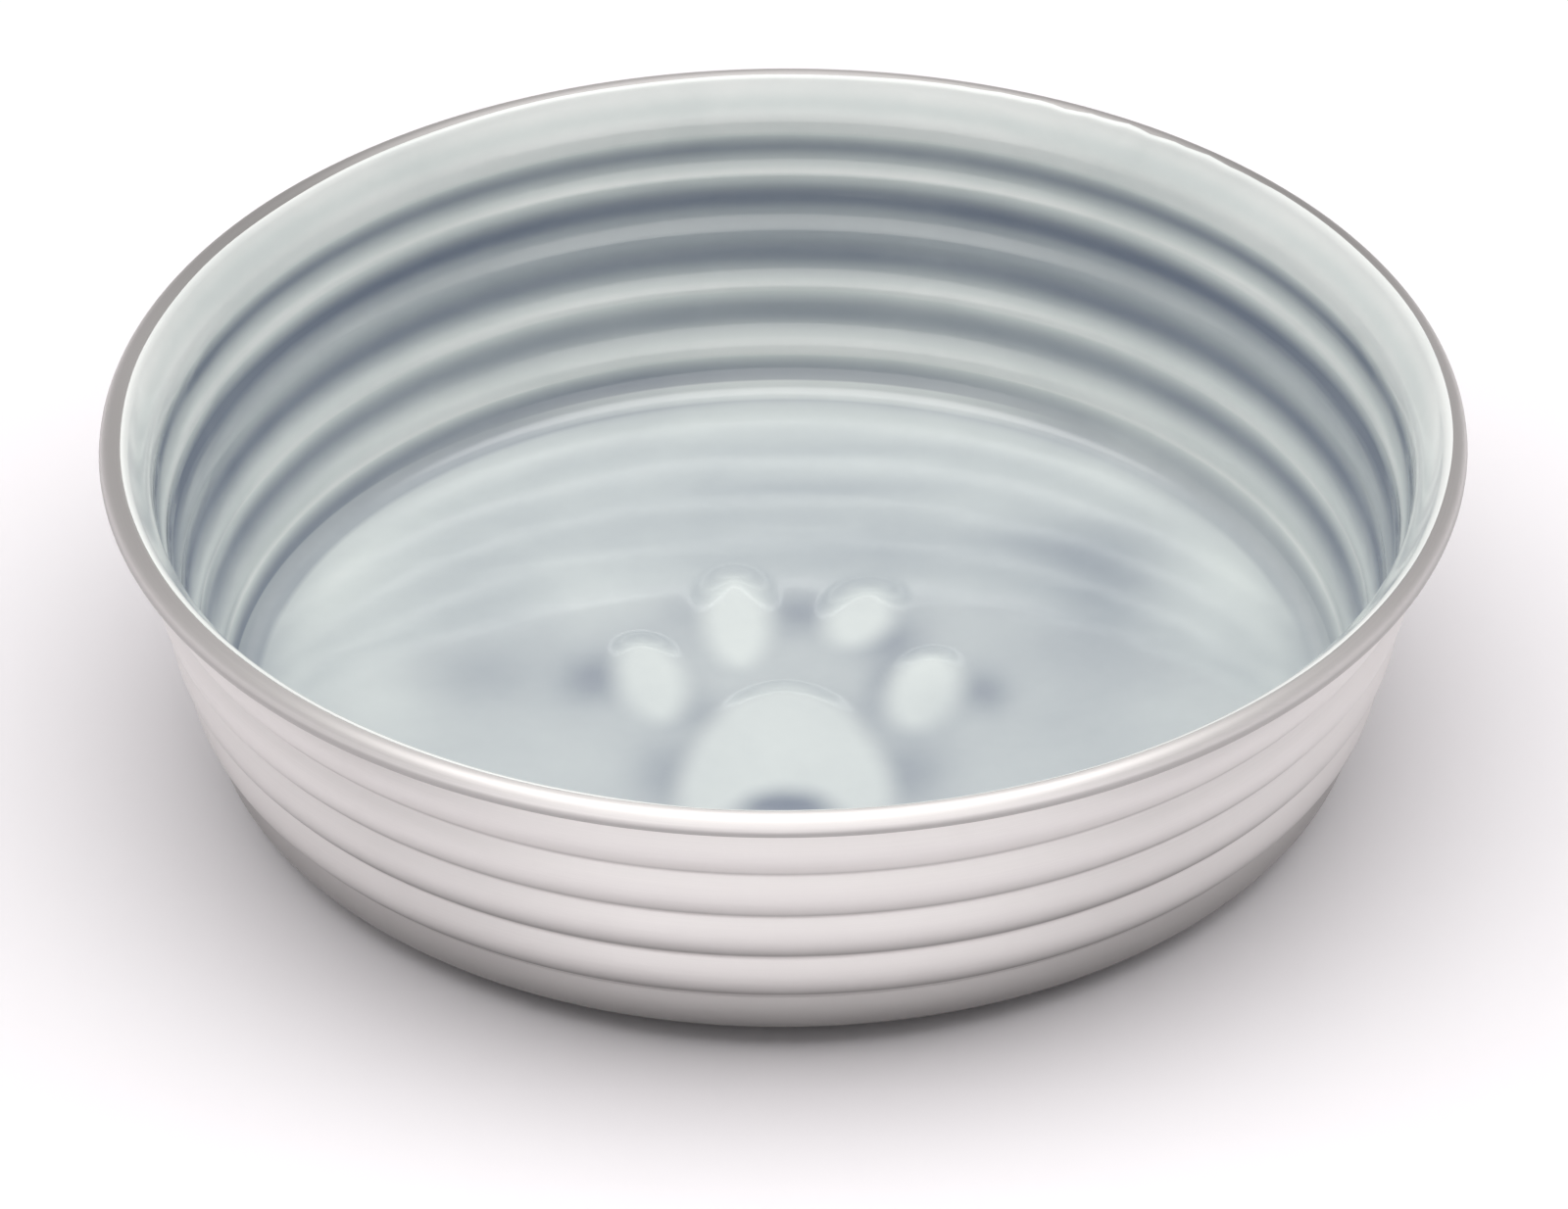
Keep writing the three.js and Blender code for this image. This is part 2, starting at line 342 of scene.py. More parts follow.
def pad_outlines(size):
    """Closed outlines of the paw's pads: four leaning ellipses and the notched main pad."""
    turn = np.linspace(0, 2 * np.pi, 64, endpoint=False)[None]
    x, y, wide, long, lean = TOES.T[:, :, None]
    lean = np.radians(lean)
    side, front = wide * np.cos(turn), long * np.sin(turn)
    toe_x = x + side * np.cos(lean) - front * np.sin(lean)
    toe_y = y + side * np.sin(lean) + front * np.cos(lean)
    mirrored = MAIN_PAD_SIDE[1:-1][::-1] * (-1, 1)
    main_pad = closed_curve(np.concatenate([MAIN_PAD_SIDE, mirrored]), 8)
    width = 2 * floor_radius(size) * size.paw_share
    return [outline * width for outline in (*np.stack([toe_x, toe_y], axis=2), main_pad)]


def depth_inside(x, y, outline):
    """Distance from points to the nearest side of a closed outline, negative outside it."""
    start, end = outline[None], np.roll(outline, -1, axis=0)[None]
    side = end - start
    place = np.stack([x.ravel(), y.ravel()], axis=1)[:, None]
    share = np.clip(((place - start) * side).sum(axis=2) / (side * side).sum(axis=2), 0, 1)
    distance = np.linalg.norm(place - start - share[:, :, None] * side, axis=2).min(axis=1)
    crossed = (start[..., 1] > place[..., 1]) != (end[..., 1] > place[..., 1])
    rise = np.where(side[..., 1] == 0, 1, side[..., 1])
    left = place[..., 0] < start[..., 0] + side[..., 0] * (place[..., 1] - start[..., 1]) / rise
    inside = (crossed & left).sum(axis=1) % 2 == 1
    return np.where(inside, distance, -distance).reshape(x.shape)


def paw_depth(x, y, size):
    """Distance inside the nearest pad of the paw, negative between the pads."""
    return np.max([depth_inside(x, y, outline) for outline in pad_outlines(size)], axis=0)


def floor_radius(size):
    """Outside of the rim less the bead, the flare and the wall's lean."""
    return size.rim_radius - size.bead - size.flare_run - size.wall_run


class SheetLine:
    """Middle of the steel sheet as a line of equal steps, from the axis to the end of the rolled rim.

    The floor is level with a raised seat for the foot ring. The wall's radius grows with a power of
    its height and hoops stand out along its normal. A straight flare leaves the neck for the bead,
    where the sheet turns through a circle.
    """

    def __init__(self, size):
        half = size.sheet / 2
        bead = size.bead / 2
        floor_end = floor_radius(size)
        level = size.foot_proud + half
        seat_end = floor_end - size.seat_inset
        seat_start = seat_end - size.seat_width
        flank = 2 * size.seat_flank
        across = np.linspace(0, floor_end, 1200)
        lift = smooth(seat_start, seat_start + flank, across) - smooth(seat_end - flank, seat_end, across)
        floor = np.stack([across, level + size.seat_depth * lift], axis=1)

        share = np.linspace(0, 1, 2400) ** 1.5
        neck_level = size.height - bead - size.flare_rise
        rise = neck_level - level
        lean = size.wall_run * share ** size.wall_curve
        plain = np.stack([floor_end + lean, level + rise * share], axis=1)
        slope = np.stack(
            [size.wall_run * size.wall_curve * share, rise * share ** (2 - size.wall_curve)], axis=1)
        slope[0] = (1, 0)
        slope /= np.linalg.norm(slope, axis=1)[:, None]
        outward = np.stack([slope[:, 1], -slope[:, 0]], axis=1)
        hoops = hoop_height(share * size.hoops, size.groove_rounding)
        wall = plain + outward * (size.hoop_depth * hoops)[:, None]

        centre = np.array([size.rim_radius - bead, size.height - bead])
        radius = bead - half
        reach = centre - wall[-1]
        start = math.atan2(reach[1], reach[0]) + math.asin(radius / np.linalg.norm(reach)) + math.pi / 2
        angle = np.linspace(start, start - size.curl_turn, 400)
        curl = centre + radius * np.stack([np.cos(angle), np.sin(angle)], axis=1)

        points = np.concatenate([floor[:-1], wall, curl])
        shares = np.concatenate([np.zeros(len(floor) - 1), share, np.ones(len(curl))])
        length = np.concatenate([[0], np.cumsum(np.linalg.norm(np.diff(points, axis=0), axis=1))])
        self.floor_end = length[len(floor) - 1]
        self.neck = length[len(floor) + len(wall) - 2]
        self.curl = length[len(floor) + len(wall) - 1]
        self.end = length[-1]
        self.curl_radius = radius
        self.q = np.arange(0, self.end, LINE_STEP)
        self.q[-1] = self.end
        even = np.stack([np.interp(self.q, length, points[:, i]) for i in (0, 1)], axis=1)
        self.point = self.eased(even)
        along = np.gradient(self.point, axis=0)
        along /= np.linalg.norm(along, axis=1)[:, None]
        self.inward = np.stack([-along[:, 1], along[:, 0]], axis=1)
        self.along = along
        self.share = np.interp(self.q, length, shares)

    def eased(self, even):
        """The line with its corner at the neck rounded by a moving average that fades out either side."""
        steps, spread, fade = 60, 0.0008, 0.0025
        reach = np.arange(-steps, steps + 1) * LINE_STEP
        kernel = np.exp(-0.5 * (reach / spread) ** 2)
        kernel /= kernel.sum()
        padded = [np.pad(even[:, i], steps, mode="reflect", reflect_type="odd") for i in (0, 1)]
        mean = np.stack([np.convolve(side, kernel, "valid") for side in padded], axis=1)
        weight = np.exp(-(((self.q - self.neck) / fade) ** 4))
        return even + (mean - even) * weight[:, None]

    def at(self, q, offset):
        """Radius and height at arc length q, moved by offset along the normal into the bowl."""
        place = [np.interp(q, self.q, self.point[:, i]) for i in (0, 1)]
        side = [np.interp(q, self.q, self.inward[:, i]) for i in (0, 1)]
        return place[0] + side[0] * offset, place[1] + side[1] * offset

    def wall_share(self, q):
        """Height up the wall at arc length q, from 0 at the floor to 1 at the neck and above."""
        return np.interp(q, self.q, self.share)

    def hoops_down(self, q, hoops):
        """Hoops below the neck at arc length q, negative on the lip above it."""
        above = np.clip(q - self.neck, 0, None) * hoops / (self.neck - self.floor_end)
        return (1 - self.wall_share(q)) * hoops - above


def azimuths(columns):
    """Equal turns about Z, from +X towards +Y."""
    return np.linspace(0, 2 * np.pi, columns, endpoint=False)


def grid(profile, columns):
    """One profile value for each row, repeated for every column."""
    return np.repeat(np.asarray(profile, float)[:, None], columns, axis=1)


def stations(places, counts):
    """Values from the first place to the last: each span between two is cut into its count of steps."""
    spans = zip(places[:-1], places[1:], counts)
    runs = [np.linspace(start, stop, count, endpoint=False) for start, stop, count in spans]
    return np.concatenate([*runs, places[-1:]])


def revolve_mesh(name, radius, height, values):
    """Closed surface of revolution from arrays of radius and height, rows along the profile by azimuth.

    Columns are equal turns about Z. The first and last rows lie on the axis and become single poles,
    unless the profile closes on itself. Each array in values becomes an attribute of its own name.
    """
    rows, columns = radius.shape
    azimuth = azimuths(columns)
    points = np.stack([radius * np.cos(azimuth), radius * np.sin(azimuth), height], axis=2)
    poled = radius[0].max() == 0
    row = np.arange(rows - 1)[:, None]
    column = np.arange(columns)[None]
    after = (column + 1) % columns
    above = row + 1 if poled else (row + 1) % (rows - 1)
    here, there = row * columns, above * columns
    quads = np.stack([here + column, here + after, there + after, there + column], axis=2)
    if poled:
        body = points[1:-1].reshape(-1, 3)
        points = np.concatenate([body, points[:1, 0], points[-1:, 0]])
        values = {
            key: np.concatenate([value[1:-1].reshape(len(body), -1), value[:1, 0], value[-1:, 0]])
            for key, value in values.items()}
        quads = quads[1:-1].reshape(-1, 4) - columns
        turn = np.arange(columns)
        following = (turn + 1) % columns
        last = (rows - 3) * columns
        low = np.stack([np.full(columns, len(body)), following, turn], axis=1)
        high = np.stack([np.full(columns, len(body) + 1), last + turn, last + following], axis=1)
        faces = quads.tolist() + low.tolist() + high.tolist()
    else:
        points = points[:-1].reshape(-1, 3)
        values = {key: value[:-1].reshape(len(points), -1) for key, value in values.items()}
        faces = quads.reshape(-1, 4).tolist()
    mesh = bpy.data.meshes.new(name)
    mesh.from_pydata(points.tolist(), [], faces)
    for key, value in values.items():
        kind = "FLOAT_VECTOR" if value.shape[1] == 3 else "FLOAT"
        attribute = mesh.attributes.new(key, kind, "POINT")
        holder = "vector" if kind == "FLOAT_VECTOR" else "value"
        attribute.data.foreach_set(holder, value.astype(np.float32).ravel())
    mesh.shade_smooth()
    mesh.update()
    mesh.validate()
    piece = bpy.data.objects.new(name, mesh)
    bpy.context.scene.collection.objects.link(piece)
    return piece


def turning(q, columns):
    """Coordinates for marks round the bowl: a unit circle by azimuth, and the arc length in millimetres."""
    azimuth = azimuths(columns)[None]
    ones = np.ones((len(q), columns))
    return np.stack([ones * np.cos(azimuth), ones * np.sin(azimuth), ones * q[:, None] * 1000], axis=2)


def floor_relief(radius, size):
    """Height of the paw from 0 to 1 and distance inside its pads, for rows of radius by azimuth."""
    paw_reach = 0.55 * floor_radius(size)
    rows = radius[:, 0] < paw_reach
    azimuth = azimuths(radius.shape[1])
    depth = np.full(radius.shape, -1.0)
    depth[rows] = paw_depth(radius[rows] * np.cos(azimuth), radius[rows] * np.sin(azimuth), size)
    return smooth(0, size.pad_shoulder, depth), depth


def add_node(tree, kind, inputs=None, **settings):
    """A shader node with its settings, values and links: a socket given as an input is linked to it."""
    node = tree.nodes.new(kind)
    for key, value in settings.items():
        setattr(node, key, value)
    for key, value in (inputs or {}).items():
        if isinstance(value, bpy.types.NodeSocket):
            tree.links.new(value, node.inputs[key])
        else:
            node.inputs[key].default_value = value
    return node


def new_material(name):
    """An empty node material and its tree."""
    material = bpy.data.materials.new(name)
    material.use_nodes = True
    material.node_tree.nodes.clear()
    return material, material.node_tree


def add_surface(tree, inputs):
    """A Principled shader with these inputs as the surface of a material."""
    shader = add_node(tree, "ShaderNodeBsdfPrincipled", inputs)
    add_node(tree, "ShaderNodeOutputMaterial", {"Surface": shader.outputs[0]})


def value_math(tree, operation, first, second=0.0, clamp=False):
    """Output of one Math node."""
    node = add_node(tree, "ShaderNodeMath", {0: first, 1: second}, operation=operation, use_clamp=clamp)
    return node.outputs[0]


def mottle_group():
    """Soft cloudy variation, and finer specks, from a coordinate in metres: both swing about 0."""
    group = bpy.data.node_groups.get("soft_mottle")
    if group:
        return group
    group = bpy.data.node_groups.new("soft_mottle", "ShaderNodeTree")
    sockets = (
        ("Place", "INPUT", "NodeSocketVector"),
        ("Scale", "INPUT", "NodeSocketFloat"),
        ("Stretch", "INPUT", "NodeSocketFloat"),
        ("Cloud", "OUTPUT", "NodeSocketFloat"),
        ("Speck", "OUTPUT", "NodeSocketFloat"),
    )
    for name, way, kind in sockets:
        group.interface.new_socket(name=name, in_out=way, socket_type=kind)
    inside = add_node(group, "NodeGroupInput")
    outside = add_node(group, "NodeGroupOutput")
    stretch = add_node(group, "ShaderNodeCombineXYZ", {"X": 1.0, "Y": 1.0, "Z": inside.outputs["Stretch"]})
    place = add_node(group, "ShaderNodeVectorMath",
                     {0: inside.outputs["Place"], 1: stretch.outputs[0]}, operation="MULTIPLY")
    cloud = add_node(group, "ShaderNodeTexNoise",
                     {"Vector": place.outputs[0], "Scale": inside.outputs["Scale"],
                      "Detail": 3.0, "Roughness": 0.5, "Distortion": 0.6})
    finer = value_math(group, "MULTIPLY", inside.outputs["Scale"], 9.0)
    speck = add_node(group, "ShaderNodeTexNoise",
                     {"Vector": place.outputs[0], "Scale": finer, "Detail": 2.0, "Roughness": 0.6})
    group.links.new(value_math(group, "SUBTRACT", cloud.outputs["Fac"], 0.5), outside.inputs["Cloud"])
    group.links.new(value_math(group, "SUBTRACT", speck.outputs["Fac"], 0.5), outside.inputs["Speck"])
    return group


def add_mottle(tree, place, scale, stretch=1.0):
    """The soft mottle placed in a material."""
    inputs = {"Place": place, "Scale": scale, "Stretch": stretch}
    return add_node(tree, "ShaderNodeGroup", inputs, node_tree=mottle_group())


def shade(colour, share):
    """A colour times a share of its brightness, with an alpha of 1."""
    return (*[min(c * share, 1) for c in colour], 1)


def mix_colours(tree, factor, first, second):
    """Colour between two others."""
    inputs = {"Factor": factor, "A": first, "B": second}
    return add_node(tree, "ShaderNodeMix", inputs, data_type="RGBA").outputs["Result"]


def steel_material(look):
    """Satin stainless sheet: fine turned lines round the bowl, uneven in sheen, with shade painted into its
    colour in the grooves, on the rim and near the ground.
    """
    material, tree = new_material("satin_steel_finish")
    turned = add_node(tree, "ShaderNodeAttribute", attribute_name="turning")
    place = add_node(tree, "ShaderNodeTexCoord").outputs["Object"]
    drawn_out = add_node(
        tree, "ShaderNodeMapping", {"Vector": turned.outputs["Vector"], "Scale": (2.0, 2.0, 9.0)})
    lines = add_node(tree, "ShaderNodeTexNoise",
                     {"Vector": drawn_out.outputs[0], "Scale": 1.0, "Detail": 4.0, "Roughness": 0.65})
    sheen = add_mottle(tree, place, 30.0)
    swing = value_math(tree, "SUBTRACT", lines.outputs["Fac"], 0.5)
    rough = value_math(tree, "ADD", value_math(tree, "MULTIPLY", swing, 0.16),
                       value_math(tree, "MULTIPLY", sheen.outputs["Cloud"], 0.1))
    rim = add_node(tree, "ShaderNodeAttribute", attribute_name="rim").outputs["Fac"]
    rough = value_math(tree, "ADD", rough, value_math(tree, "MULTIPLY", rim, look.dulled))
    rough = value_math(tree, "ADD", rough, look.satin, clamp=True)
    lighter = value_math(tree, "ADD", 0.5, swing)
    tint = mix_colours(tree, lighter, shade(look.steel, 0.94), shade(look.steel, 1.05))
    # Painted shade: the colour darkens towards near-black steel by the attribute from the shell
    painted_shade = add_node(tree, "ShaderNodeAttribute", attribute_name="painted_shade").outputs["Fac"]
    darker = value_math(tree, "MULTIPLY", painted_shade, look.painted_shade)
    with_painted_shade = mix_colours(tree, darker, tint, shade(look.steel, 0.12))
    bump = add_node(tree, "ShaderNodeBump",
                    {"Strength": 0.25, "Distance": 0.00002, "Height": lines.outputs["Fac"]})
    round_the_bowl = add_node(tree, "ShaderNodeTangent", direction_type="RADIAL", axis="Z")
    add_surface(tree, {
        "Base Color": with_painted_shade, "Metallic": 1.0, "Roughness": rough, "Normal": bump.outputs[0],
        "Anisotropic": look.brushing, "Anisotropic Rotation": 0.25,
        "Tangent": round_the_bowl.outputs[0]})
    return material


def enamel_material(look):
    """Tinted enamel: pale where thin over ridges and pads, slate where it pools, and mottled. Its tone also
    carries painted shade and highlights, and its near-white lip colour is partly a painted highlight.
    """
    material, tree = new_material("poured_enamel")
    place = add_node(tree, "ShaderNodeTexCoord").outputs["Object"]
    tone = add_node(tree, "ShaderNodeAttribute", attribute_name="tone").outputs["Fac"]
    mottle = add_mottle(tree, place, 38.0, 2.0)
    depth = value_math(tree, "ADD", tone, value_math(tree, "MULTIPLY", mottle.outputs["Cloud"], 0.22))
    specks = value_math(tree, "MULTIPLY", mottle.outputs["Speck"], 0.04)
    depth = value_math(tree, "ADD", depth, specks, clamp=True)
    colour = add_node(tree, "ShaderNodeValToRGB", {"Fac": depth})
    stops = colour.color_ramp.elements
    # The lip colour at the thin end is partly a painted highlight
    stops[0].color = (*look.lip, 1)
    stops[1].color = (*look.slate, 1)
    stops.new(0.14).color = (*look.pale, 1)
    stretched = add_node(tree, "ShaderNodeMapping", {"Vector": place, "Scale": (0.45, 1.0, 1.0)})
    ripple = add_node(tree, "ShaderNodeTexNoise",
                      {"Vector": stretched.outputs[0], "Scale": 60.0, "Detail": 1.5})
    bump = add_node(tree, "ShaderNodeBump",
                    {"Strength": 1.0, "Distance": 0.0003, "Height": ripple.outputs["Fac"]})
    add_surface(tree, {
        "Base Color": colour.outputs["Color"], "Roughness": look.roughness, "IOR": 1.6,
        "Coat Weight": 0.5, "Coat Roughness": 0.03, "Normal": bump.outputs[0]})
    return material


def rubber_material(look):
    """Matt black rubber with a fine grain and pale dust."""
    material, tree = new_material("foot_rubber_finish")
    place = add_node(tree, "ShaderNodeTexCoord").outputs["Object"]
    grain = add_mottle(tree, place, 120.0)
    patches = value_math(tree, "MULTIPLY", grain.outputs["Cloud"], 0.6)
    dust = value_math(tree, "ADD", patches, 0.15, clamp=True)
    colour = mix_colours(tree, dust, (*look.rubber, 1), shade(look.rubber, 3))
    specks = value_math(tree, "MULTIPLY", grain.outputs["Speck"], 0.3)
    rough = value_math(tree, "ADD", specks, 0.72, clamp=True)
    bump = add_node(tree, "ShaderNodeBump",
                    {"Strength": 0.4, "Distance": 0.0001, "Height": grain.outputs["Speck"]})
    add_surface(tree, {"Base Color": colour, "Roughness": rough, "Normal": bump.outputs[0]})
    return material


def lap_angle(azimuth, lap):
    """How far round the bead the enamel reaches: uneven by hand, and ragged at the back right."""
    slow = np.radians(10) * np.cos(azimuth)
    quick = np.radians(1.6) * np.sin(7 * azimuth + 0.4) + np.radians(0.8) * np.sin(19 * azimuth + 2)
    ragged = bell(azimuth, np.radians(58), np.radians(13))
    torn = np.radians(7) * np.sin(61 * azimuth) * np.sin(23 * azimuth + 1) - np.radians(5)
    return lap + slow + quick + ragged * torn


class BOWL_OT_steel_shell(bpy.types.Operator):
    """Make the pressed steel shell with its hoops, rolled rim, foot ring seat and pressed paw"""

    bl_idname = "bowl.steel_shell"
    bl_label = "Steel shell"

    def execute(self, context):
        size = context.scene.bowl_sizes
        line = SheetLine(size)
        columns = 240
        half = size.sheet / 2
        under = stations([0, line.floor_end, line.neck, line.curl, line.end], [84, 150, 12, 43])
        over = stations([line.end, line.curl, line.neck, line.floor_end, 0], [18, 5, 45, 41])
        under_r, under_z = line.at(under, -half)
        over_r, over_z = line.at(over, half)
        around = np.linspace(-np.pi / 2, np.pi / 2, 7)[1:-1]
        tip, side, ahead = line.point[-1], line.inward[-1], line.along[-1]
        edge = tip + half * (np.sin(around)[:, None] * side + np.cos(around)[:, None] * ahead)
        q = np.concatenate([under, np.full(len(edge), line.end), over])
        radius = grid(np.concatenate([under_r, edge[:, 0], over_r]), columns)
        height = grid(np.concatenate([under_z, edge[:, 1], over_z]), columns)
        radius[[0, -1]] = 0
        height += size.paw_rise * floor_relief(radius, size)[0]
        fade = 0.001
        rim = grid(smooth(line.curl - fade, line.curl + fade, q), columns)
        # Painted shade in the steel's colour, on the wall, the flare and the rolled rim
        painted_shade = np.zeros(radius.shape)
        painted_shade[: len(under)] = self.wall_painted_shade(line, under, size, columns)
        painted_shade[-len(over):] = self.bead_painted_shade(line, over, columns)
        values = {"turning": turning(q, columns), "rim": rim[:, :, None], "painted_shade": painted_shade[:, :, None]}
        piece = revolve_mesh("bowl_steel", radius, height, values)
        piece.data.materials.append(steel_material(context.scene.bowl_metal))
        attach(piece, "root")
        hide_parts("steel_shell")
        return {"FINISHED"}

    def wall_painted_shade(self, line, q, size, columns):
        """The painted shade on the outside of the wall, from 0 to about 1.

        From a line just above each groove it fades by an exponential, up the hoop and more quickly
        down: the shade of each hoop's lower flank. It reaches further near the foot, and is deeper round
        the sides. Next to the ground it is a painted reflection of the bowl's shadow on the floor, and on
        the flare it is the shade under the bead.
        """
        share = line.wall_share(q)
        low = smooth(0.9, 0.3, share)
        above_groove = 0.1 + 0.1 * low
        fade_up, fade_down = 0.1 + 0.14 * low, 0.06
        phase = (share * size.hoops - above_groove) % 1
        shaded = np.maximum(np.exp(-phase / fade_up), np.exp((phase - 1) / fade_down))
        groove = shaded * (0.5 + 0.5 * low) * smooth(0.05, 0.12, share)
        # Painted reflection of the bowl's shadow on the floor, next to the ground
        ground = 0.92 * smooth(0.42, 0.02, share)
        flare = 0.4 * smooth(line.neck, line.curl, q)
        sides = 1 + 0.3 * np.abs(np.cos(azimuths(columns)))
        wall = np.maximum(groove[:, None] * sides, ground[:, None])
        return np.where(q[:, None] < line.neck, wall, flare[:, None])

    def bead_painted_shade(self, line, q, columns):
        """The painted shade on the rolled rim: underneath it, higher up round the sides, and all of it at
        the back.
        """
        azimuth = azimuths(columns)
        aside = np.abs(np.cos(azimuth))
        facing_up = np.interp(q, line.q, line.inward[:, 1])[:, None]
        # Painted shade on the underside of the rim
        beneath = 0.6 * smooth(0.1 + 0.5 * aside, 0.3 * aside - 0.25, facing_up)
        # Painted shade over the whole rim at the back
        painted_back_shade = 0.62 * smooth(0.15, 0.75, np.sin(azimuth))
        return np.where(q[:, None] > line.curl, np.maximum(beneath, painted_back_shade), 0)


class BOWL_OT_enamel_lining(bpy.types.Operator):
    """Make the poured enamel lining with its flutes, meniscus, raised paw and uneven edge on the rim"""

    bl_idname = "bowl.enamel_lining"
    bl_label = "Enamel lining"

    def execute(self, context):
        size = context.scene.bowl_sizes
        look = context.scene.bowl_enamel
        line = SheetLine(size)
        columns = 288
        azimuth = azimuths(columns)
        seat = size.sheet / 2 + look.gap
        depth = max(size.paw_rise - look.paw_show, size.seat_depth) + look.coat
        level = size.foot_proud + size.sheet + look.gap + depth

        def hoop(q):
            """Height of the hoops at arc length q, from 0 in a groove to 1 on a crest."""
            return hoop_height(line.wall_share(q) * size.hoops, size.groove_rounding)

        # Meniscus: one bend from the level floor into the wall
        wall = np.linspace(line.floor_end, line.neck, 2000)
        wall_r, wall_z = line.at(wall, seat + look.coat + look.pool * hoop(wall))
        first = int(np.argmax(wall_z > level + look.meniscus))
        top = np.array([wall_r[first], wall_z[first]])
        slope = np.array([wall_r[first + 1] - wall_r[first], wall_z[first + 1] - wall_z[first]])
        corner = np.array([top[0] - slope[0] / slope[1] * (top[1] - level), level])
        foot = corner - np.array([np.linalg.norm(top - corner), 0])
        bend = np.linspace(0, 1, 14, endpoint=False)[:, None]
        meniscus = (1 - bend) ** 2 * foot + 2 * bend * (1 - bend) * corner + bend ** 2 * top

        # Floor, wall, and a lip that thins out over the bead and ends in a rounded edge
        floor_r = np.linspace(0, foot[0], 84, endpoint=False)
        lip_below_neck = 0.0012
        rising = np.linspace(wall[first], line.neck - lip_below_neck, 124)
        rising_r, rising_z = line.at(rising, seat + look.coat + look.pool * hoop(rising))
        lip_start = rising[-1]
        lap = lap_angle(azimuth, look.lap)
        lip_end = line.curl + (line.curl_radius + seat) * lap
        share = np.linspace(0, 1, 30)[1:, None]
        crowding = 1.6
        share = 1 - (1 - share) ** crowding
        lip = lip_start + (lip_end[None] - lip_start) * share
        rounded_from, least = 0.86, 0.03
        fullness = np.sqrt(1 - np.clip((share - rounded_from) / (1 - rounded_from), 0, 1) ** 2)
        thinning = smooth(0.2, 0.9, share)
        thick_edge = 0.00045
        edge = look.edge + thick_edge * smooth(np.radians(26), np.radians(14), lap)
        coat = look.coat + look.pool * hoop(lip) - (look.coat - edge) * thinning
        bond_lost = 0.9 * look.gap
        bond = seat - bond_lost * thinning
        lip_r, lip_z = line.at(lip, bond + coat * (least + (1 - least) * fullness))

        # Underside, next to the steel
        back = np.linspace(1, 0, 6, endpoint=False)[:, None]
        back_lip = line.neck + (lip_end[None] - line.neck) * back
        back_lip_r, back_lip_z = line.at(back_lip, seat - bond_lost * smooth(0.3, 1, back))
        under_r, under_z = line.at(stations([line.neck, line.floor_end, 0], [45, 43]), seat)

        # One closed profile, from the axis underneath to the axis on top
        inner_r = np.concatenate([floor_r, meniscus[:, 0], rising_r])
        inner_z = np.concatenate([np.full(len(floor_r), level), meniscus[:, 1], rising_z])
        radius = np.concatenate([grid(inner_r, columns), lip_r, back_lip_r, grid(under_r, columns)])
        height = np.concatenate([grid(inner_z, columns), lip_z, back_lip_z, grid(under_z, columns)])
        radius, height = radius[::-1].copy(), height[::-1].copy()
        radius[[0, -1]] = 0
        relief, inside = floor_relief(radius, size)
        top_rows = np.arange(len(radius)) >= len(radius) - len(floor_r)
        soft = smooth(-look.pad_softness, look.pad_softness, inside)
        height += np.where(top_rows[:, None], look.paw_show * soft, size.paw_rise * relief)

        # Tint, with painted shade and highlights on the wall, the meniscus and the floor's edge, for each
        # run of rows
        tone = np.full(radius.shape, 0.3)
        spans = np.cumsum([0, len(floor_r), len(meniscus), len(rising), len(share)])
        floor_rows, bend_rows, wall_rows, lip_rows = (
            slice(len(radius) - stop, len(radius) - begin) for begin, stop in zip(spans[:-1], spans[1:]))
        tone[floor_rows] = self.floor_tone(radius[floor_rows], azimuth, inside[floor_rows], foot[0])
        tone[bend_rows] = self.bend_tone(bend[::-1], azimuth)
        wall_down = line.hoops_down(rising[::-1], size.hoops)[:, None]
        tone[wall_rows] = self.wall_tone(wall_down, azimuth, size.hoops)
        tone[lip_rows] = self.wall_tone(line.hoops_down(lip[::-1], size.hoops), azimuth, size.hoops)
        piece = revolve_mesh("bowl_enamel", radius, height, {"tone": tone[:, :, None]})
        piece.data.materials.append(enamel_material(look))
        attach(piece, "root")
        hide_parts("enamel_lining")
        return {"FINISHED"}

    def bend_tone(self, rise, azimuth):
        """Depth of tint up the meniscus, deepest on the left; at the back a painted highlight over a thin
        painted dark line.
        """
        at_back = smooth(0.82, 0.99, np.sin(azimuth))
        at_left = smooth(0, -0.6, np.cos(azimuth))
        # Painted highlight along the meniscus at the back, over a painted dark line at its foot
        foot_line = 0.26 * (1 - rise) ** 6
        return 0.47 + 0.14 * at_left + at_back * (foot_line - 0.27)

    def wall_tone(self, down, azimuth, hoops):
        """Depth of tint in hoops below the neck: sin(pi p^e)^1.25 over the pitch p between ridges.

        Round the sides the power e, a lag and the tint of the flutes grow by the cube of the azimuth's
        cosine: painted shade, for how the flutes look from the camera round the sides. The lowest flute is
        thin on the right. Above the neck the lip is pale with a faint band of painted shade.
        """
        # Painted shade round the sides: the lag, the power and the deeper flutes grow with this
        aside = np.abs(np.cos(azimuth)) ** 3
        lag = 0.1 * aside * smooth(0.5, 1.5, down)
        place = np.interp(down - lag, [-1, *RIDGE_LINES], np.arange(-1, len(RIDGE_LINES)))
        place = place * hoops / len(FLUTE_TONES)
        row = np.clip(place.astype(int), 0, hoops - 1)
        phase = np.clip(place - row, 0, 1)
        power = 0.6 + aside * np.where(row > 0, 0.3, 0.14)
        pooled = np.clip(np.sin(np.pi * phase ** power), 0, 1) ** 1.25
        ridge = np.interp(place, np.arange(-1, hoops + 1), [0, *np.resize(RIDGE_TONES, hoops + 1)])
        # Painted shade: a faint band across the lip
        band = 0.13 * bell(place, -0.35, 0.15)
        thin = 0.34 * smooth(-0.1, 0.9, np.cos(azimuth)) * (row == hoops - 1)
        flute = np.resize(FLUTE_TONES, hoops)[row] + 0.22 * aside - thin
        return ridge + band + (flute - ridge) * pooled

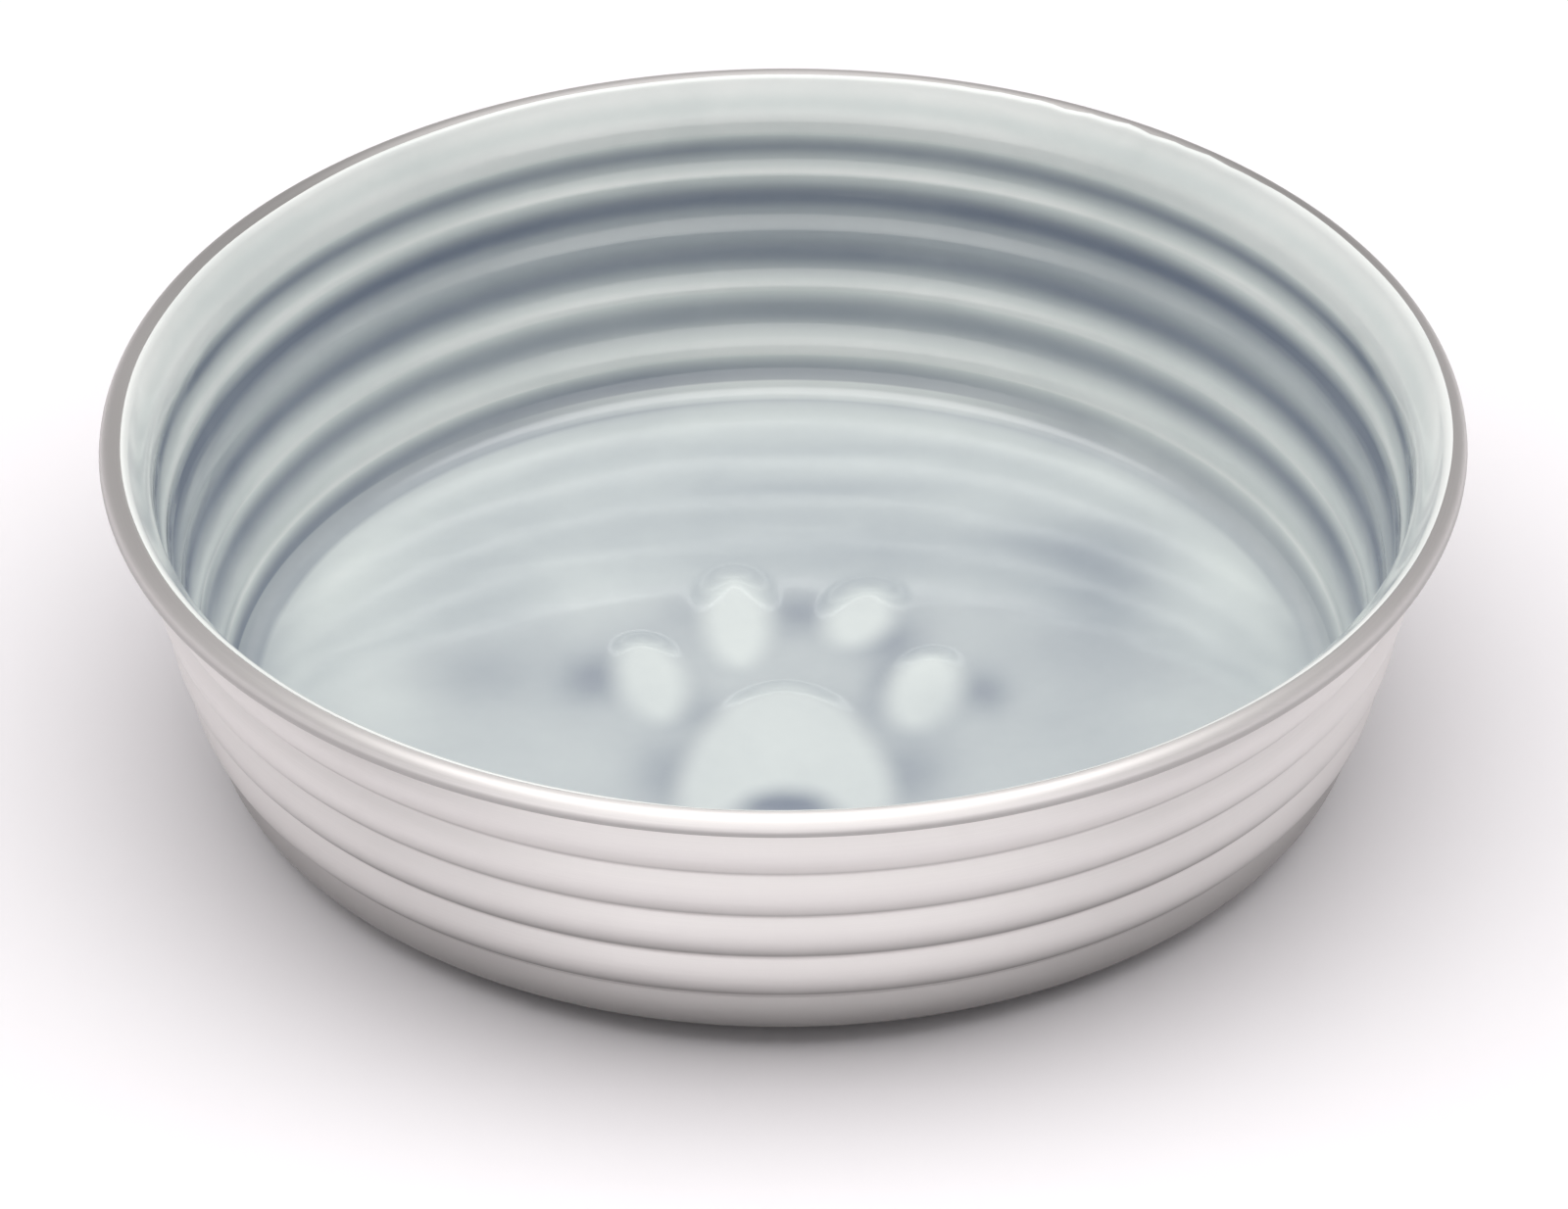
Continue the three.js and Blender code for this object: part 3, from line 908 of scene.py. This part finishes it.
    def floor_tone(self, radius, azimuth, inside, edge):
        """Depth of tint on the floor: bell-shaped pools, pale pads with a halo, and lines at the edge, the
        dark one at the back painted shade.
        """
        x, y = radius * np.cos(azimuth), radius * np.sin(azimuth)
        pool_x, pool_y, across, along = POOLS[:, :4].T[:, :, None, None] / 1000
        spots = bell(x, pool_x, across) * bell(y, pool_y, along)
        pools = (POOLS[:, 4, None, None] * spots).sum(axis=0)
        halo_reach = 0.003
        halo = 0.06 * np.exp(-np.clip(-inside, 0, None) / halo_reach)
        at_back = smooth(0.1, 0.9, np.sin(azimuth))
        # Painted dark line where the floor meets the wall at the back
        line = 0.18 * at_back * bell(radius, edge, 0.0007)
        pad = smooth(-0.0022, 0.0028, inside)
        corner = 0.1 * (1 - at_back) * smooth(0.008, 0, edge - radius)
        ring = 0.09 * bell(radius / edge, 0.945, 0.04)
        thinner_outwards = 0.11 * smooth(0.5, 0.95, radius / edge)
        open_floor = 0.45 - thinner_outwards - ring + pools + halo + corner
        pale = 0.27 - 0.08 * smooth(-0.004, 0.008, y)
        return open_floor + (pale - open_floor) * pad + line


class BOWL_OT_foot_ring(bpy.types.Operator):
    """Make the rubber foot ring with rounded edges"""

    bl_idname = "bowl.foot_ring"
    bl_label = "Foot ring"

    def execute(self, context):
        columns = 192
        inner = np.hypot(*self.inner_edge())
        outer = FOOT_HIGH.x
        low, high = FOOT_LOW.z, FOOT_HIGH.z
        low_round, high_round = 0.0004, 0.0002
        turn = np.linspace(0, np.pi / 2, 7)
        short_of_sin, short_of_cos = 1 - np.sin(turn), 1 - np.cos(turn)
        corners = [
            (outer - low_round * short_of_sin, low + low_round * short_of_cos),
            (outer - high_round * short_of_cos, high - high_round * short_of_sin),
            (inner + high_round * short_of_sin, high - high_round * short_of_cos),
            (inner + low_round * short_of_cos, low + low_round * short_of_sin),
        ]
        radius, height = np.concatenate(corners, axis=1)
        radius, height = np.append(radius, radius[0]), np.append(height, height[0])
        piece = revolve_mesh("bowl_foot_ring", grid(radius, columns), grid(height, columns), {})
        piece.data.materials.append(rubber_material(context.scene.bowl_metal))
        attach(piece, "root")
        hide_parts("rubber_foot_ring")
        return {"FINISHED"}

    def inner_edge(self):
        """A point on the CAD ring's inner edge: its vertex nearest the axis."""
        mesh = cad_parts["rubber_foot_ring"].data
        points = np.empty(len(mesh.vertices) * 3)
        mesh.vertices.foreach_get("co", points)
        points = points.reshape(-1, 3)
        return points[np.argmin(np.hypot(points[:, 0], points[:, 1])), :2]


class BOWL_OT_stage(bpy.types.Operator):
    """Make the pale floor, the soft light and the camera"""

    bl_idname = "bowl.stage"
    bl_label = "Stage"

    def execute(self, context):
        scene = context.scene
        settings = scene.bowl_stage
        scene.view_settings.view_transform = "Standard"
        self.floor(scene, settings)
        self.light(scene, settings)
        self.camera(scene, settings)
        return {"FINISHED"}

    def floor(self, scene, settings):
        """A level sheet of pale paper that reaches past the edge of the picture."""
        mesh = bpy.data.meshes.new("stage_floor")
        reach = 12.0
        corners = [(-reach, -reach, 0), (reach, -reach, 0), (reach, reach, 0), (-reach, reach, 0)]
        mesh.from_pydata(corners, [], [(0, 1, 2, 3)])
        floor = bpy.data.objects.new("stage_floor", mesh)
        scene.collection.objects.link(floor)
        material, tree = new_material("stage_paper")
        paper = {"Base Color": (*settings.floor, 1), "Roughness": 0.6, "Specular IOR Level": 0.1}
        add_surface(tree, paper)
        mesh.materials.append(material)

    def light(self, scene, settings):
        """Soft boxes as a smooth sky: a long one overhead, one by the camera and a dim one behind."""
        world = bpy.data.worlds.new("stage_sky")
        world.use_nodes = True
        tree = world.node_tree
        tree.nodes.clear()
        shown = add_node(tree, "ShaderNodeLightPath").outputs["Is Glossy Ray"]

        def by_ray(plain, in_metal):
            """One value for the light itself and another for its reflection in a sheen."""
            return value_math(tree, "ADD", value_math(tree, "MULTIPLY", shown, in_metal - plain), plain)

        way = add_node(tree, "ShaderNodeTexCoord").outputs["Generated"]
        depth = add_node(tree, "ShaderNodeSeparateXYZ", {0: way}).outputs["Y"]
        width = by_ray(1 / settings.key_length, 1 / settings.key_shown)
        narrowing = add_node(tree, "ShaderNodeCombineXYZ", {"X": width, "Y": 1.0, "Z": 1.0})
        narrowed = add_node(
            tree, "ShaderNodeVectorMath", {0: way, 1: narrowing.outputs[0]}, operation="MULTIPLY")
        narrowed = add_node(tree, "ShaderNodeVectorMath", {0: narrowed.outputs[0]}, operation="NORMALIZE")
        lean = settings.key_lean
        towards = add_node(
            tree, "ShaderNodeVectorMath", {0: narrowed.outputs[0], 1: (0, math.sin(lean), math.cos(lean))},
            operation="DOT_PRODUCT")
        inner, outer = settings.key_reach - settings.key_edge, settings.key_reach + settings.key_edge
        # Each box: the value that places it, the ends of its soft edge and its strength
        boxes = (
            (towards.outputs["Value"], math.cos(outer), math.cos(inner), settings.key),
            (depth, -0.4, -0.85, by_ray(settings.fill, settings.front)),
            (depth, 0.5, 0.9, by_ray(settings.back, 0)),
        )
        strength = by_ray(settings.sky, settings.surround)
        for value, low, high, most in boxes:
            box = add_node(tree, "ShaderNodeMapRange",
                           {"Value": value, "From Min": low, "From Max": high, "To Max": most},
                           interpolation_type="SMOOTHSTEP")
            strength = value_math(tree, "ADD", box.outputs["Result"], strength)
        sky = add_node(tree, "ShaderNodeBackground", {"Color": (1, 0.985, 0.98, 1), "Strength": strength})
        add_node(tree, "ShaderNodeOutputWorld", {"Surface": sky.outputs[0]})
        scene.world = world

    def camera(self, scene, settings):
        """A long lens on the front, aimed a little below the middle of the rim."""
        size = scene.bowl_sizes
        lens = bpy.data.cameras.new("stage_camera")
        lens.lens = settings.lens
        lens.clip_end = 100
        camera = bpy.data.objects.new("stage_camera", lens)
        rise = settings.elevation
        camera.location = (0, -settings.distance * math.cos(rise),
                           size.height - size.bead / 2 + settings.distance * math.sin(rise))
        camera.rotation_mode = "ZXY"
        camera.rotation_euler = (math.pi / 2 - rise - settings.tilt, 0, settings.roll)
        scene.collection.objects.link(camera)
        scene.camera = camera


class BOWL_PT_panel(bpy.types.Panel):
    """Sizes, colours and steps of the pet bowl"""

    bl_idname = "BOWL_PT_panel"
    bl_label = "Pet Bowl"
    bl_space_type = "VIEW_3D"
    bl_region_type = "UI"
    bl_category = "Pet Bowl"

    def draw(self, context):
        """A button for each step, then a box for each group of settings."""
        for operator in OPERATORS:
            self.layout.operator(operator.bl_idname)
        for holder, group in GROUPS.items():
            box = self.layout.box()
            box.label(text=group.__doc__)
            for name in group.__annotations__:
                box.prop(getattr(context.scene, holder), name)


GROUPS = {
    "bowl_sizes": BowlSizes,
    "bowl_enamel": EnamelSettings,
    "bowl_metal": MetalSettings,
    "bowl_stage": StageSettings,
}
OPERATORS = (BOWL_OT_steel_shell, BOWL_OT_enamel_lining, BOWL_OT_foot_ring, BOWL_OT_stage)
CLASSES = (*GROUPS.values(), *OPERATORS, BOWL_PT_panel)


def register():
    """Add the settings, steps and panel."""
    for cls in CLASSES:
        bpy.utils.register_class(cls)
    for holder, group in GROUPS.items():
        setattr(bpy.types.Scene, holder, bpy.props.PointerProperty(type=group))


def unregister():
    """Take the settings, steps and panel away again."""
    for holder in GROUPS:
        delattr(bpy.types.Scene, holder)
    for cls in reversed(CLASSES):
        bpy.utils.unregister_class(cls)


def main():
    register()
    bpy.ops.bowl.stage()
    bpy.ops.bowl.steel_shell()
    bpy.ops.bowl.enamel_lining()
    bpy.ops.bowl.foot_ring()


if __name__ == "__main__":
    main()
